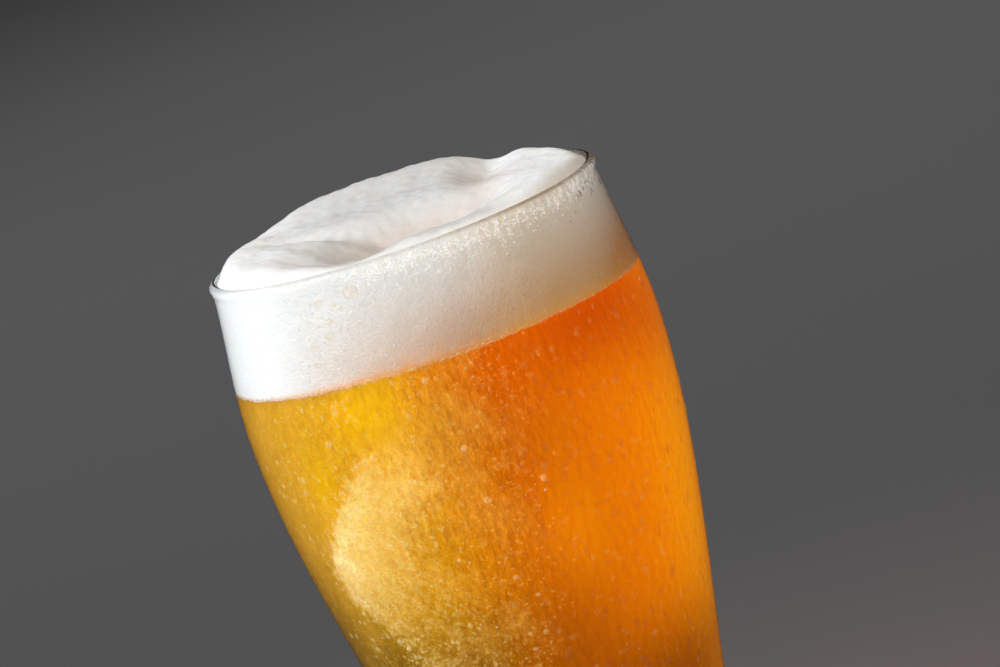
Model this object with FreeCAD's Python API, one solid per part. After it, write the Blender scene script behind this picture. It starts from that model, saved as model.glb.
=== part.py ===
"""A pint of lager, just poured: the glass, the beer in it and its head of foam.

Millimetres, +Z up. The origin is the centre of the glass's base, on the surface it stands on.
The glass and the beer are turned about Z. The top of the foam is a height above the rim's plane
at each x and y, with -Y towards the front of the glass.
"""
import FreeCAD, Part

import math
import os

Z_AXIS = FreeCAD.Vector(0, 0, 1)
ORIGIN = FreeCAD.Vector(0, 0, 0)

# --- Glass, outside: heights above the table, radii from the axis -------------------------
HEIGHT = 156.0            # to the top of the rim
RIM_RADIUS = 41.0         # over the rounded lip
RIM_LEAN = -0.09          # radius gained for each millimetre of height just under the lip
BULGE_RADIUS = 43.6       # the widest ring
BULGE_DROP = 33.0         # from the rim down to the widest ring
BODY_RADIUS = 36.3        # half way down the taper
BODY_HEIGHT = 66.0
BODY_LEAN = 0.192
WAIST_RADIUS = 29.0       # the narrowest ring, just above the foot
WAIST_HEIGHT = 14.0
FOOT_RADIUS = 30.2
FOOT_ROUND = 3.0          # round at the foot's outer edge
PUNT_RADIUS = 21.0        # the hollow under the base
PUNT_DEPTH = 1.6

# --- Glass, inside -------------------------------------------------------------------------
LIP_THICKNESS = 2.2       # a rolled lip, a little thicker than the wall
LIP_PROUD = 0.35          # how far the lip stands out from the wall under it
LIP_HEIGHT = 3.0          # from the top of the rim down to where the lip has died away
BULGE_WALL = 1.9
BODY_WALL = 2.3
BOWL_WALL = 3.5           # where the wall turns into the floor
BOWL_RISE = 13.0          # from the floor's middle up to that turn
FLOOR = 13.0              # glass under the middle of the beer

# --- Beer and foam -------------------------------------------------------------------------
BEER_DROP = 22.5          # from the rim down to the top of the beer
CROWN = 2.8               # the foam's even height above the rim, away from its edge
FOAM_EDGE = -0.55         # where the foam meets the glass, from the rim's plane
SHOULDER = 0.14           # share of the foam's radius over which its edge rounds over
# The mounds and hollows on the crown: height, centre x and y, half widths along and across,
# the turn of the long side in degrees, and how steep-sided it is (1 is a plain bell).
FOAM_SHAPES = {
    "ridge at the back": (2.8, -5.9, 30.3, 29.3, 8.0, 0.0, 1.0),
    "left mound": (1.0, -31.9, 5.9, 7.0, 10.7, 0.0, 1.0),
    "fall to the right": (-1.8, 30.7, 0.5, 10.8, 14.4, 0.0, 1.0),
    "crater where the beer was poured in": (-8.2, 3.0, -12.0, 18.0, 12.0, 0.0, 1.5),
    "low sill in front of it": (-3.2, -11.0, -24.0, 13.0, 10.0, 0.0, 1.0),
    "lip to the right of the sill": (-2.2, 15.0, -32.0, 17.0, 10.0, 0.0, 1.0),
    "notch beside the right mound": (-3.2, 19.7, 19.8, 5.1, 15.1, -10.0, 1.0),
    "fold behind the left mound": (-1.6, -16.0, 0.0, 12.0, 3.0, -24.0, 1.0),
    "spillway from the crater to the rim": (-1.6, -9.0, -34.0, 7.5, 8.0, 0.0, 1.0),
}
FOAM_GRID = 1.5           # spacing of the points that the foam's top passes through
FOAM_MARGIN = 2.5         # how far those points run on past the foam's edge
FOAM_ROOM = 25.0          # height above the rim that the tallest foam stays under

BEER_LEVEL = HEIGHT - BEER_DROP
LIP_ROUND = LIP_THICKNESS / 2
LIP_MIDDLE = HEIGHT - LIP_ROUND
MOUTH_RADIUS = RIM_RADIUS - LIP_THICKNESS


def point(radius, height):
    return FreeCAD.Vector(radius, 0, height)


def span(low, high):
    """A cubic between two stations (height, radius, lean), along both leans."""
    reach = (high[0] - low[0]) / 3
    curve = Part.BezierCurve()
    curve.setPoles([
        point(low[1], low[0]),
        point(low[1] + reach * low[2], low[0] + reach),
        point(high[1] - reach * high[2], high[0] - reach),
        point(high[1], high[0]),
    ])
    return curve.toShape()


def wall(stations):
    """One span after another, so that the wall has no corner."""
    return [span(low, high) for low, high in zip(stations, stations[1:])]


def line(a, b):
    return Part.LineSegment(a, b).toShape()


def arc(a, middle, b):
    return Part.Arc(a, middle, b).toShape()


def turned(edges):
    """The solid that a closed half outline makes when it is turned about Z."""
    face = Part.Face(Part.Wire(Part.sortEdges(edges)[0]))
    return face.revolve(ORIGIN, Z_AXIS, 360)


def outer_wall():
    return wall([
        (FOOT_ROUND, FOOT_RADIUS, 0.0),
        (WAIST_HEIGHT, WAIST_RADIUS, 0.0),
        (BODY_HEIGHT, BODY_RADIUS, BODY_LEAN),
        (HEIGHT - BULGE_DROP, BULGE_RADIUS, 0.0),
        (HEIGHT - LIP_HEIGHT, RIM_RADIUS - LIP_PROUD, RIM_LEAN),
        (LIP_MIDDLE, RIM_RADIUS, 0.0),
    ])


def inner_wall():
    """The floor's round and the wall above it, up to the lip."""
    turn_height = FLOOR + BOWL_RISE
    share = (turn_height - WAIST_HEIGHT) / (BODY_HEIGHT - WAIST_HEIGHT)
    # The outer cubic's radius and lean at the height of the turn.
    outer = Part.BezierCurve()
    reach = (BODY_HEIGHT - WAIST_HEIGHT) / 3
    outer.setPoles([
        point(WAIST_RADIUS, WAIST_HEIGHT),
        point(WAIST_RADIUS, WAIST_HEIGHT + reach),
        point(BODY_RADIUS - reach * BODY_LEAN, BODY_HEIGHT - reach),
        point(BODY_RADIUS, BODY_HEIGHT),
    ])
    place, slope = outer.getD1(share)
    radius = place.x - BOWL_WALL
    lean = slope.x / slope.z
    bowl = Part.BezierCurve()
    bowl.setPoles([
        point(0, FLOOR),
        point(radius * 0.62, FLOOR),
        point(radius - lean * BOWL_RISE * 0.6, FLOOR + BOWL_RISE * 0.4),
        point(radius, turn_height),
    ])
    return [bowl.toShape()] + wall([
        (turn_height, radius, lean),
        (BODY_HEIGHT, BODY_RADIUS - BODY_WALL, BODY_LEAN),
        (HEIGHT - BULGE_DROP, BULGE_RADIUS - BULGE_WALL, 0.0),
        (LIP_MIDDLE, MOUTH_RADIUS, RIM_LEAN),
    ])


def make_glass():
    lip = arc(point(RIM_RADIUS, LIP_MIDDLE), point(RIM_RADIUS - LIP_ROUND, HEIGHT),
              point(MOUTH_RADIUS, LIP_MIDDLE))
    slant = math.sqrt(0.5)
    foot = arc(point(FOOT_RADIUS, FOOT_ROUND),
               point(FOOT_RADIUS - FOOT_ROUND * (1 - slant), FOOT_ROUND * (1 - slant)),
               point(FOOT_RADIUS - FOOT_ROUND, 0))
    ring = line(point(FOOT_RADIUS - FOOT_ROUND, 0), point(PUNT_RADIUS, 0))
    punt = Part.BezierCurve()
    punt.setPoles([point(PUNT_RADIUS, 0), point(PUNT_RADIUS * 0.75, PUNT_DEPTH),
                   point(PUNT_RADIUS * 0.4, PUNT_DEPTH), point(0, PUNT_DEPTH)])
    axis = line(point(0, PUNT_DEPTH), point(0, FLOOR))
    return turned(outer_wall() + inner_wall() + [lip, foot, ring, punt.toShape(), axis])


def make_inside():
    """All the room in the glass, run straight up above its mouth."""
    top = HEIGHT + FOAM_ROOM
    return turned(inner_wall() + [
        line(point(MOUTH_RADIUS, LIP_MIDDLE), point(MOUTH_RADIUS, top)),
        line(point(MOUTH_RADIUS, top), point(0, top)),
        line(point(0, top), point(0, FLOOR)),
    ])


def bell(x, y, shape):
    """A mound of height 1 and elliptical plan: e to the minus d^(2 power), d its scaled radius."""
    height, centre_x, centre_y, half_x, half_y, turn, power = shape
    cosine = math.cos(math.radians(turn))
    sine = math.sin(math.radians(turn))
    along = ((x - centre_x) * cosine + (y - centre_y) * sine) / half_x
    across = ((y - centre_y) * cosine - (x - centre_x) * sine) / half_y
    return height * math.exp(-((along ** 2 + across ** 2) ** power))


def foam_height(x, y):
    """The foam's top above the table: the shapes on the crown, rounded over at the edge.

    The round is 1 - (1 - t)^3, with t running from 0 at the glass to 1 where the crown is
    even. Past the glass it falls away with the slope it had there, and soon levels out.
    """
    inward = (1 - math.hypot(x, y) / MOUTH_RADIUS) / SHOULDER
    if inward < 0:
        rounding = 3 * inward / (1 - 2 * inward)
    else:
        rounding = 1 - max(1 - inward, 0) ** 3
    rise = CROWN - FOAM_EDGE + sum(bell(x, y, shape) for shape in FOAM_SHAPES.values())
    return HEIGHT + FOAM_EDGE + rise * rounding


def make_under_foam_top():
    """Everything below the foam's top, as one block down to the middle of the beer."""
    reach = MOUTH_RADIUS + FOAM_MARGIN
    steps = math.ceil(2 * reach / FOAM_GRID)
    pitch = 2 * reach / steps
    places = [-reach + pitch * i for i in range(steps + 1)]
    surface = Part.BSplineSurface()
    surface.interpolate([[foam_height(x, y) for y in places] for x in places],
                        -reach, pitch, -reach, pitch)
    return surface.toShape().extrude(FreeCAD.Vector(0, 0, -(BEER_DROP + FOAM_ROOM)))


def slab(low, high):
    """A wide box between two heights."""
    side = 4 * BULGE_RADIUS
    return Part.makeBox(side, side, high - low, FreeCAD.Vector(-side / 2, -side / 2, low))


def make_beer():
    return make_inside().common(slab(0, BEER_LEVEL))


def make_foam():
    head = make_inside().common(slab(BEER_LEVEL, HEIGHT + FOAM_ROOM))
    return head.common(make_under_foam_top())


def write(name, shape):
    solids = shape.Solids
    assert len(solids) == 1, f"{name} came out as {len(solids)} solids"
    solid = solids[0]
    assert solid.isValid() and solid.Volume > 0, f"{name} isn't a good solid"
    solid.exportStep(f"parts/{name}.step")
    box = solid.BoundBox
    print(f"{name}: {solid.Volume / 1000:.1f} ml, {len(solid.Faces)} faces,"
          f" z {box.ZMin:.2f} to {box.ZMax:.2f}, {box.XLength:.2f} across")


os.makedirs("parts", exist_ok=True)
write("glass", make_glass())
write("beer", make_beer())
write("foam", make_foam())
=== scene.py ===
# %% [markdown]
# # A freshly poured pint
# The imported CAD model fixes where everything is: a glass, the beer in it and its head of foam.
# It could be rendered as it stands, but its facets would show in clear glass, and beer and foam
# are mostly small things that CAD leaves out: bubbles, dew and the grain of the foam. So each
# node is replaced by a smooth surface of the same shape and place, and the small things are
# strewn over it as real meshes.

# %% The frame, and the box that the CAD model fills
import math

import bpy
import numpy as np
from mathutils import Matrix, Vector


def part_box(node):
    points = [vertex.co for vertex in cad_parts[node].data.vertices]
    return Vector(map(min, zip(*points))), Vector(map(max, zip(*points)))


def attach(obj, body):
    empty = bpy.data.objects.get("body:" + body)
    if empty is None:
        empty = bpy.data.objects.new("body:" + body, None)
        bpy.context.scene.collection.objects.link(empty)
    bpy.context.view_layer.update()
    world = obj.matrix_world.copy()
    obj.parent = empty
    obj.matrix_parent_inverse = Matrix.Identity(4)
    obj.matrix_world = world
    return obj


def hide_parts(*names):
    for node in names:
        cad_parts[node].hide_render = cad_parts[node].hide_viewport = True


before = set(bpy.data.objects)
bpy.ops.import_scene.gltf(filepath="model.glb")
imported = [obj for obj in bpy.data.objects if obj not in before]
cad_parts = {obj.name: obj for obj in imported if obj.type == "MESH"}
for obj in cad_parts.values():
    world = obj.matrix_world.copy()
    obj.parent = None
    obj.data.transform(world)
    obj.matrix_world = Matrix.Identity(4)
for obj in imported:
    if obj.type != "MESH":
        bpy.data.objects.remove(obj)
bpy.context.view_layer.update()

glass_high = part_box("glass")[1]
beer_low, beer_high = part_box("beer")

# %% [markdown]
# ## Sizes
# The walls are cubics through a few stations, as in the CAD source: a height, a radius and a
# lean, which is the radius gained for each millimetre of height. The numbers are millimetres,
# because that is how a glass is drawn, and they become metres when a mesh is made. The heights
# of the rim and of the beer are read from the frame.

# %% Named sizes, in millimetres
# WAIST, BODY, BULGE and UNDER_LIP are stations: a height, the outer radius there and the lean.
MM = 0.001
RIM = glass_high[2] / MM
LEVEL = beer_high[2] / MM
RIM_RADIUS = 41.0
LIP_THICKNESS = 2.2
LIP_ROUND = LIP_THICKNESS / 2
LIP_MIDDLE = RIM - LIP_ROUND
MOUTH = RIM_RADIUS - LIP_THICKNESS
FLOOR = beer_low[2] / MM
BOWL_RISE = 13.0
BOWL_WALL = 3.5
PUNT_RADIUS, PUNT_DEPTH = 21.0, 1.6
FOOT_RADIUS, FOOT_ROUND = 30.2, 3.0
WAIST = (14.0, 29.0, 0.0)
BODY = (66.0, 36.3, 0.192)
BULGE = (RIM - 33.0, 43.6, 0.0)
UNDER_LIP = (RIM - 3.0, RIM_RADIUS - 0.35, -0.09)
BODY_WALL, BULGE_WALL = 2.3, 1.9
print(f"rim at {RIM:.1f} mm, beer up to {LEVEL:.1f} mm, floor at {FLOOR:.1f} mm")


# %% [markdown]
# ## Outlines
# A turned shape needs only half of its outline, from the axis and back to the axis. Sampling
# it finely costs little and keeps the glass free of facets, which clear glass would magnify.

# %% Cubic walls through stations
def cubic(low, high, steps):
    """Radius and height along one span: a cubic whose ends have the stations' radii and leans."""
    t = np.linspace(0.0, 1.0, steps, endpoint=False)
    reach = high[0] - low[0]
    radius = (low[1] * (2 * t**3 - 3 * t**2 + 1) + high[1] * (3 * t**2 - 2 * t**3)
              + reach * (low[2] * (t**3 - 2 * t**2 + t) + high[2] * (t**3 - t**2)))
    return np.stack([radius, low[0] + reach * t], axis=1)


def wall(stations, steps):
    """One cubic after another, ending on the last station."""
    spans = [cubic(a, b, steps) for a, b in zip(stations, stations[1:])]
    return np.concatenate(spans + [np.array([[stations[-1][1], stations[-1][0]]])])


def bezier(poles, steps):
    """Points on the cubic with these four poles, without the last one."""
    t = np.linspace(0.0, 1.0, steps, endpoint=False)[:, None]
    p = np.array(poles, dtype=float)
    return ((1 - t) ** 3 * p[0] + 3 * t * (1 - t) ** 2 * p[1]
            + 3 * t**2 * (1 - t) * p[2] + t**3 * p[3])


def arc(centre, radius, start, end, steps):
    """Points on a circle's arc between two angles in degrees, without the last one."""
    turn = np.radians(np.linspace(start, end, steps, endpoint=False))
    return np.stack([centre[0] + radius * np.cos(turn), centre[1] + radius * np.sin(turn)], axis=1)


print("waist to body, as radius and height:", np.round(wall([WAIST, BODY], 3), 1).tolist())


# %% [markdown]
# ## Two walls of glass
# The outer wall is what a hand holds, and the inner one is the outer one less the thickness at
# each station. The wall gets thicker towards the base, because the glass is gathered there, and
# it turns into the floor by a round bowl. Both walls are kept as rows of radius and height, so
# that whatever lies on the glass later can look up the radius at its own height.

# %% The glass's two walls
SPAN_STEPS = 36
outer_stations = [(FOOT_ROUND, FOOT_RADIUS, 0.0), WAIST, BODY, BULGE, UNDER_LIP,
                  (LIP_MIDDLE, RIM_RADIUS, 0.0)]
outer_wall = wall(outer_stations, SPAN_STEPS)
turn_height = FLOOR + BOWL_RISE
lower = cubic(WAIST, BODY, 2000)
turn_radius = np.interp(turn_height, lower[:, 1], lower[:, 0]) - BOWL_WALL
turn_lean = np.interp(turn_height, lower[:, 1], np.gradient(lower[:, 0], lower[:, 1]))
inner_stations = [(turn_height, turn_radius, turn_lean),
                  (BODY[0], BODY[1] - BODY_WALL, BODY[2]),
                  (BULGE[0], BULGE[1] - BULGE_WALL, 0.0),
                  (LIP_MIDDLE, MOUTH, UNDER_LIP[2])]
inner_wall = wall(inner_stations, SPAN_STEPS)
bowl = bezier([(0, FLOOR), (turn_radius * 0.62, FLOOR),
               (turn_radius - turn_lean * BOWL_RISE * 0.6, FLOOR + BOWL_RISE * 0.4),
               (turn_radius, turn_height)], 24)


def inside_radius(height):
    """The inner wall's radius at a height."""
    return np.interp(height, inner_wall[:, 1], inner_wall[:, 0])


def outside_radius(height):
    """The outer wall's radius at a height."""
    return np.interp(height, outer_wall[:, 1], outer_wall[:, 0])


print(f"inside radius at the beer's top {inside_radius(LEVEL):.2f} mm")


# %% [markdown]
# ## From rings to a closed mesh
# Every big piece here is a stack of rings between two poles. One function joins each ring to
# the next with quads and closes both ends with a fan of triangles, so no seam or hole is left.
# The rings run so that the faces look outwards: up the outside, or down the inside.

# %% Rings to mesh
def new_piece(name, points, faces, rounded=True):
    """A mesh object at the origin. Points are in millimetres. Rounded says, for all faces or for
    a pattern of them that repeats, whether their shading is smooth."""
    mesh = bpy.data.meshes.new(name)
    mesh.from_pydata((np.asarray(points) * MM).tolist(), [], faces)
    mesh.polygons.foreach_set("use_smooth", np.resize(rounded, len(mesh.polygons)))
    mesh.update()
    piece = bpy.data.objects.new(name, mesh)
    bpy.context.scene.collection.objects.link(piece)
    print(f"{name}: {len(mesh.vertices)} points, {sum(len(f) - 2 for f in faces)} triangles")
    return piece


def ringed(name, rings, first_pole, last_pole):
    """Closes rings, an array (ring, place, xyz), between two poles."""
    count, around = rings.shape[:2]
    points = np.concatenate([rings.reshape(-1, 3), [first_pole], [last_pole]])
    ring = np.arange(count - 1)[:, None] * around
    place = np.arange(around)[None, :]
    following = (place + 1) % around
    quads = np.stack([ring + place, ring + following, ring + around + following,
                      ring + around + place], axis=-1).reshape(-1, 4)
    place, following = place[0], following[0]
    base = (count - 1) * around
    start = np.stack([following, place, np.full(around, count * around)], axis=1)
    end = np.stack([base + place, base + following, np.full(around, count * around + 1)], axis=1)
    return new_piece(name, points, quads.tolist() + start.tolist() + end.tolist())


def lathe(name, outline, around):
    """Turns an outline of (radius, height) rows about Z. Its first and last rows are the poles."""
    turn = np.linspace(0, 2 * np.pi, around, endpoint=False)
    radius, height = outline[1:-1, 0, None], outline[1:-1, 1, None]
    rings = np.stack([radius * np.cos(turn), radius * np.sin(turn),
                      np.broadcast_to(height, (len(radius), around))], axis=-1)
    return ringed(name, rings, (0, 0, outline[0, 1]), (0, 0, outline[-1, 1]))


# %% [markdown]
# ## The glass
# A pint glass is blown or pressed as one piece: a heavy base, a tapering wall and a fire-polished
# lip that is a little thicker than the wall. One closed outline holds both walls, so light bends
# at each of them as it does in the real thing.

# %% Glass mesh
lip = arc((RIM_RADIUS - LIP_ROUND, LIP_MIDDLE), LIP_ROUND, 0, 180, 12)
foot = arc((FOOT_RADIUS - FOOT_ROUND, FOOT_ROUND), FOOT_ROUND, -90, 0, 8)
punt = bezier([(0, PUNT_DEPTH), (PUNT_RADIUS * 0.4, PUNT_DEPTH),
               (PUNT_RADIUS * 0.75, PUNT_DEPTH), (PUNT_RADIUS, 0)], 12)
glass_outline = np.concatenate([
    punt, [(PUNT_RADIUS, 0.0)], foot, outer_wall[:-1], lip, inner_wall[::-1][:-1],
    [(turn_radius, turn_height)], bowl[::-1],
])
glass = lathe("pint_glass", glass_outline, around=256)


# %% [markdown]
# ## The beer
# The beer fills the glass up to the foam. It is a turned shape too, a quarter of a millimetre
# wider than the room it has, so that its surface lies inside the glass wall. With the two
# surfaces exactly together, or with a gap, a dark air layer would show.

# %% Beer mesh
SINK = 0.25
# Two rings close to the sharp edge keep the smooth shading of the wall from bending over it.
TIGHT = 0.03
TOP_STEPS = 24
beer_wall = wall(inner_stations, 60)
beer_wall = beer_wall[beer_wall[:, 1] < LEVEL - 2 * TIGHT]
beer_edge = float(inside_radius(LEVEL)) + SINK
beer_top = np.stack([np.linspace(beer_edge - TIGHT, 0, TOP_STEPS), np.full(TOP_STEPS, LEVEL)], axis=1)
beer_outline = np.concatenate([bowl, beer_wall + [SINK, 0],
                               [(beer_edge, LEVEL - TIGHT), (beer_edge, LEVEL)], beer_top])
beer = lathe("beer_body", beer_outline, around=360)


# %% [markdown]
# ## The head of foam
# Foam that has just been poured stands above the rim in soft mounds, with a crater where the
# stream went in. The mounds are bells, e to the minus of the scaled distance squared, added to
# an even crown, and the edge rounds over to meet the glass. Sculpting would give the same, but
# a sum of named mounds can be moved and measured.

# %% The foam's top as a function
# The crown and the edge are heights over the rim, and the shoulder is a share of the radius.
CROWN = 2.8
FOAM_EDGE = -0.55
SHOULDER = 0.14
# height, centre x and y, half widths along and across, turn in degrees, steepness
FOAM_SHAPES = {
    "ridge at the back": (2.8, -5.9, 30.3, 29.3, 8.0, 0.0, 1.0),
    "left mound": (1.0, -31.9, 5.9, 7.0, 10.7, 0.0, 1.0),
    "fall to the right": (-1.8, 30.7, 0.5, 10.8, 14.4, 0.0, 1.0),
    "crater where the beer was poured in": (-8.2, 3.0, -12.0, 18.0, 12.0, 0.0, 1.5),
    "low sill in front of it": (-3.2, -11.0, -24.0, 13.0, 10.0, 0.0, 1.0),
    "lip to the right of the sill": (-2.2, 15.0, -32.0, 17.0, 10.0, 0.0, 1.0),
    "notch beside the right mound": (-3.2, 19.7, 19.8, 5.1, 15.1, -10.0, 1.0),
    "fold behind the left mound": (-1.6, -16.0, 0.0, 12.0, 3.0, -24.0, 1.0),
    "spillway from the crater to the rim": (-1.6, -9.0, -34.0, 7.5, 8.0, 0.0, 1.0),
}


def bell(x, y, shape):
    """A mound of elliptical plan: height times e to the minus (d squared) to the power."""
    height, centre_x, centre_y, half_x, half_y, turn, power = shape
    cosine, sine = math.cos(math.radians(turn)), math.sin(math.radians(turn))
    along = ((x - centre_x) * cosine + (y - centre_y) * sine) / half_x
    across = ((y - centre_y) * cosine - (x - centre_x) * sine) / half_y
    return height * np.exp(-((along**2 + across**2) ** power))


def waves(x, y, length, count, seed):
    """A smooth random field between about -1 and 1: this many cosines of about one wavelength,
    each with its own direction and phase, added up."""
    rng = np.random.default_rng(seed)
    turn = rng.uniform(0, 2 * np.pi, count)
    phase = rng.uniform(0, 2 * np.pi, count)
    stretch = rng.uniform(0.75, 1.35, count)
    k = 2 * np.pi / (length * stretch)
    total = sum(np.cos(a * (np.cos(t) * x + np.sin(t) * y) + p)
                for a, t, p in zip(k, turn, phase))
    return total / math.sqrt(2 * count)


def foam_top(x, y):
    """The foam's height above the table at x and y: the crown and all its mounds, multiplied by
    a rounding that is 0 at the wall, 1 inside the shoulder and 1 less a cube between them."""
    inward = (1 - np.hypot(x, y) / MOUTH) / SHOULDER
    rounding = 1 - np.clip(1 - inward, 0, 1) ** 3
    rise = CROWN - FOAM_EDGE + sum(bell(x, y, shape) for shape in FOAM_SHAPES.values())
    uneven = 0.22 * waves(x, y, 9.0, 14, 3) + 0.09 * waves(x, y, 3.2, 18, 4)
    return RIM + FOAM_EDGE + (rise + uneven) * rounding


print(f"foam in the middle {foam_top(0.0, 0.0):.1f} mm above the table")


# %% [markdown]
# ## One skin round the foam
# Seen through the glass, the foam's side matters as much as its top. It clings to the wall and
# ends in a slightly ragged line on the beer. So bottom, side and top are one closed surface of
# rings, and the bottom ring goes up and down a little. Two rings lie very close to each corner,
# to keep the corner crisp in smooth shading.

# %% Foam mesh: bottom, side and top in one surface
FOAM_SINK = 0.32
FOAM_DIP = 0.25
AROUND = 384
BOTTOM_RINGS, SIDE_RINGS, TOP_RINGS = 10, 42, 177


def foam_rings():
    """Rings of x, y and z: out along the bottom, up the wall, and in over the top."""
    turn = np.linspace(0, 2 * np.pi, AROUND, endpoint=False)
    along = turn * 40
    ragged = 0.16 * waves(along, 0, 6.0, 12, 7) + 0.08 * waves(along, 0, 1.6, 12, 8)
    lowest = LEVEL - FOAM_DIP + ragged
    side_share = np.concatenate([[0, 0.0015], np.linspace(0, 1, SIDE_RINGS)[1:]])[:, None]
    contact = RIM + FOAM_EDGE
    side_z = lowest + (contact - lowest) * side_share
    side_r = inside_radius(side_z) + FOAM_SINK
    bottom_share = np.append(np.linspace(0, 1, BOTTOM_RINGS)[1:-1], 0.999)[:, None]
    bottom_r = bottom_share * side_r[0]
    bottom_z = np.broadcast_to(lowest, bottom_r.shape)
    # The top's rings crowd towards the wall, where its edge rounds over.
    top_share = np.sin(np.linspace(np.pi / 2, 0, TOP_RINGS + 1)[:-1])[:, None]
    top_r = np.broadcast_to(MOUTH * top_share, (TOP_RINGS, AROUND))
    top_z = foam_top(top_r * np.cos(turn), top_r * np.sin(turn))
    radius = np.concatenate([bottom_r, side_r[:-1], top_r])
    height = np.concatenate([bottom_z, side_z[:-1], top_z])
    return np.stack([radius * np.cos(turn), radius * np.sin(turn), height], axis=-1)


rings = foam_rings()
foam = ringed("foam_head", rings, (0, 0, LEVEL - FOAM_DIP), (0, 0, float(foam_top(0.0, 0.0))))
print(f"foam from {rings[..., 2].min():.1f} to {rings[..., 2].max():.1f} mm")


# %% [markdown]
# ## Shader sums in plain Python
# Materials here are sums of noises and masks. A Field wraps one socket, so that `a * 2 + b` adds
# the Math nodes, and its `node` method adds any other node with its settings and inputs.

# %% The Field class
class Field:
    """A socket of a material's node tree that can be used in sums."""

    def __init__(self, tree, socket=None):
        self.tree, self.socket = tree, socket

    def node(self, kind, settings=None, values=None, output=0):
        """Adds a node: its settings first, then the value or the Field of each input."""
        made = self.tree.nodes.new(kind)
        for key, value in (settings or {}).items():
            setattr(made, key, value)
        for key, value in (values or {}).items():
            if isinstance(value, Field):
                self.tree.links.new(value.socket, made.inputs[key])
            else:
                made.inputs[key].default_value = value
        return Field(self.tree, made.outputs[output])

    def maths(self, operation, a, b):
        """One Math node on a and b."""
        return self.node("ShaderNodeMath", {"operation": operation}, {0: a, 1: b})

    def __add__(self, other):
        return self.maths("ADD", self, other)

    def __radd__(self, other):
        return self.maths("ADD", other, self)

    def __sub__(self, other):
        return self.maths("SUBTRACT", self, other)

    def __rsub__(self, other):
        return self.maths("SUBTRACT", other, self)

    def __mul__(self, other):
        return self.maths("MULTIPLY", self, other)

    def __rmul__(self, other):
        return self.maths("MULTIPLY", other, self)

    def clamp(self, low, high):
        """0 at low, 1 at high, and straight between them."""
        return self.node("ShaderNodeMapRange", {"clamp": True},
                         {"Value": self, "From Min": low, "From Max": high})

    def mix(self, a, b):
        """Colour a where this is 0 and colour b where it is 1."""
        return self.node("ShaderNodeMix", {"data_type": "RGBA"}, {0: self, 6: a, 7: b}, output=2)


# %% [markdown]
# ## Small helpers for every finish
# A maker names colours as a screen shows them, from 0 to 255, while light adds up on a linear
# scale, so one function goes from the first to the second. Two more open and close a material.
# The rest read a place, a noise or a painted value, and they are used in every finish below.

# %% Colours, materials and patterns
def screen_to_linear(colours):
    """Colours from 0 to 255, as picked on a screen, as the linear ones that light adds up."""
    share = np.asarray(colours, dtype=float) / 255
    return np.where(share <= 0.04045, share / 12.92, ((share + 0.055) / 1.055) ** 2.4)


def colour(red, green, blue):
    """One colour picked on a screen, as a socket takes it."""
    return (*screen_to_linear((red, green, blue)).tolist(), 1.0)


def new_material(name):
    """A material with an empty tree: returns it and a Field to build on."""
    material = bpy.data.materials.new(name)
    material.use_nodes = True
    material.node_tree.nodes.clear()
    return material, Field(material.node_tree)


def finished(material, surface):
    """Joins the last shader to an output and says how large the tree has become."""
    tree = material.node_tree
    output = tree.nodes.new("ShaderNodeOutputMaterial")
    tree.links.new(surface.socket, output.inputs["Surface"])
    print(f"{material.name}: {len(tree.nodes)} nodes")
    return material


def place_of(start, stretch=(1, 1, 1)):
    """The point on the piece in millimetres, with its axes stretched."""
    at = start.node("ShaderNodeTexCoord", output=3)
    scale = tuple(s / MM for s in stretch)
    return start.node("ShaderNodeVectorMath", {"operation": "MULTIPLY"}, {0: at, 1: scale})


def noise(at, size, detail=2.0):
    """Cloudy noise around 0.5 with lumps of about this size in millimetres."""
    return at.node("ShaderNodeTexNoise", {"normalize": True},
                   {"Vector": at, "Scale": 1 / size, "Detail": detail})


def cells(at, size):
    """Distance to the nearest of points strewn about this far apart in millimetres."""
    return at.node("ShaderNodeTexVoronoi", {"feature": "F1"}, {"Vector": at, "Scale": 1 / size})


def attribute(start, name, output=2):
    """What was painted on the piece under this name: output 2 is a number and 0 a colour."""
    return start.node("ShaderNodeAttribute", {"attribute_name": name}, output=output)


print("a mid grey on the screen is", round(colour(128, 128, 128)[0], 3), "in light")


# %% [markdown]
# ## Clear glass that lets lamps through
# Cycles traces glass well, but a lamp reaches what is inside it only by rare, noisy paths. For
# the rays that carry a lamp's light, the glass turns into a plain transparent shader, so the
# beer and the foam are lit softly, while the eye still sees real refraction.

# %% Glass material
def see_and_light(start, surface, tint):
    """Shows surface to the eye, and a transparent tint to shadow and diffuse rays."""
    clear = start.node("ShaderNodeBsdfTransparent", None, {"Color": tint})
    for ray in ("Is Diffuse Ray", "Is Shadow Ray"):
        factor = start.node("ShaderNodeLightPath", output=ray)
        surface = start.node("ShaderNodeMixShader", None, {0: factor, 1: surface, 2: clear})
    return surface


def glass_material():
    """Clear glass with faint upright streaks, a breath of mist, and a painted dark line at the lip.
    """
    material, start = new_material("clear_glass")
    at = place_of(start)
    streaks = place_of(start, (1, 1, 0.28))
    mist = noise(at, 14.0, 3.0).clamp(0.42, 0.62)
    height = noise(streaks, 2.6, 2.0) * 0.6 + noise(streaks, 0.9, 1.0) * 0.25
    bump = start.node("ShaderNodeBump", None,
                      {"Height": height, "Strength": 0.12, "Distance": 0.4 * MM})
    tint = attribute(start, "lip").mix((0.985, 0.995, 0.99, 1), (0.34, 0.27, 0.21, 1))
    body = start.node("ShaderNodeBsdfPrincipled", None, {
        "Base Color": tint, "Transmission Weight": 1.0, "IOR": 1.5,
        "Roughness": mist * 0.03 + 0.01, "Normal": bump})
    return finished(material, see_and_light(start, body, (0.97, 0.98, 0.975, 1)))


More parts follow.
